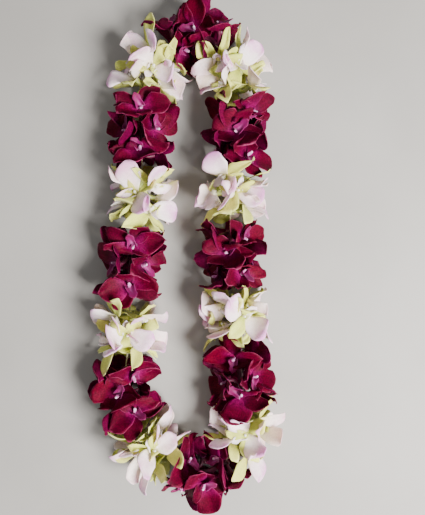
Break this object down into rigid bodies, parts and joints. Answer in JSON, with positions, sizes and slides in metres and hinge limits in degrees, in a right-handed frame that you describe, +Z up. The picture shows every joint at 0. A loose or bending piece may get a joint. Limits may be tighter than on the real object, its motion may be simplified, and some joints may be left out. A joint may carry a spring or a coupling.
{
  "type": "flower_lei",
  "caption": "Fresh orchid lei laid in a long closed loop: dense bunches of magenta and of white, lavender-tipped dendrobium blooms strung by turns on one knotted thread.",
  "frame": {"origin": "middle of the lei's footprint, on the surface it lies on", "axes": "+Z up from the surface; +Y along the long way of the loop, towards the magenta bunch at the top of the picture; +X to the right of the picture"},
  "size_m": [0.1936, 0.5058, 0.0629],
  "materials": {
    "magenta_orchid": "velvety crimson-magenta petals and sepals with fine pale veins, purple lips; fabric stands in for living petal",
    "white_orchid": "matt white petals blushed lavender at the tips, yellow-green sepals, cream throats; fabric stands in for living petal",
    "thread": "off-white cotton thread"
  },
  "bodies": {
    "root": {"magenta_bunch_1": "magenta_orchid", "white_bunch_1": "white_orchid", "magenta_bunch_2": "magenta_orchid", "white_bunch_2": "white_orchid", "magenta_bunch_3": "magenta_orchid", "white_bunch_3": "white_orchid", "magenta_bunch_4": "magenta_orchid", "white_bunch_4": "white_orchid", "magenta_bunch_5": "magenta_orchid", "white_bunch_5": "white_orchid", "magenta_bunch_6": "magenta_orchid", "white_bunch_6": "white_orchid", "magenta_bunch_7": "magenta_orchid", "white_bunch_7": "white_orchid", "magenta_bunch_8": "magenta_orchid", "white_bunch_8": "white_orchid", "thread": "thread"}
  },
  "joints": []
}
